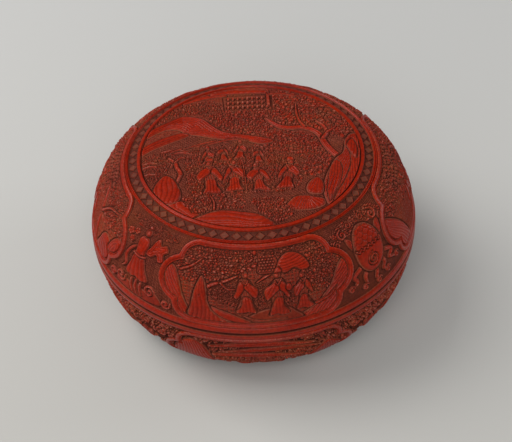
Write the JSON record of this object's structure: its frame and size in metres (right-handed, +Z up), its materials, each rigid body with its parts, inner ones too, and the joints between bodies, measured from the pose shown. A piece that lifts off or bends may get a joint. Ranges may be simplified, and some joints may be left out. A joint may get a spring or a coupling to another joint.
{
  "type": "round carved lacquer box",
  "caption": "Round domed-lid box of carved red lacquer over a wood core, on a low foot ring, with black lacquer inside and a lid that lifts off an upright lip.",
  "frame": {"origin": "centre of the foot ring, on the surface that the box stands on", "axes": "+Z up along the axis of the round box, -Y to the front, where a carved panel faces, +X to the right seen from the front"},
  "size_m": [0.3, 0.3, 0.1559],
  "materials": {
    "cinnabar_lacquer": "satin polished red lacquer, deeply carved, with dust-dulled recesses",
    "black_lacquer": "polished black-brown lacquer with fine wear",
    "cloth_ash_ground": "matt hemp cloth set in ash and raw lacquer",
    "core_wood": "planed softwood, unfinished"
  },
  "bodies": {
    "base": {"base_carved_lacquer": "cinnabar_lacquer", "base_cloth_ground": "cloth_ash_ground", "base_foot_hoop": "core_wood", "base_foot_lacquer": "cinnabar_lacquer", "base_hoop_1": "core_wood", "base_hoop_2": "core_wood", "base_hoop_3": "core_wood", "base_inner_lacquer": "black_lacquer", "base_mouth_lip": "black_lacquer", "base_plank_left": "core_wood", "base_plank_middle": "core_wood", "base_plank_right": "core_wood", "base_underside_lacquer": "black_lacquer"},
    "lid": {"lid_carved_lacquer": "cinnabar_lacquer", "lid_cloth_ground": "cloth_ash_ground", "lid_hoop_1": "core_wood", "lid_hoop_2": "core_wood", "lid_hoop_3": "core_wood", "lid_hoop_4": "core_wood", "lid_inner_lacquer": "black_lacquer", "lid_plank_left": "core_wood", "lid_plank_middle": "core_wood", "lid_plank_right": "core_wood"}
  },
  "joints": [
    {"name": "lid_lift", "type": "slide", "parent": "base", "child": "lid", "axis": [0, 0, 1], "range_m": [0, 0.15]}
  ]
}
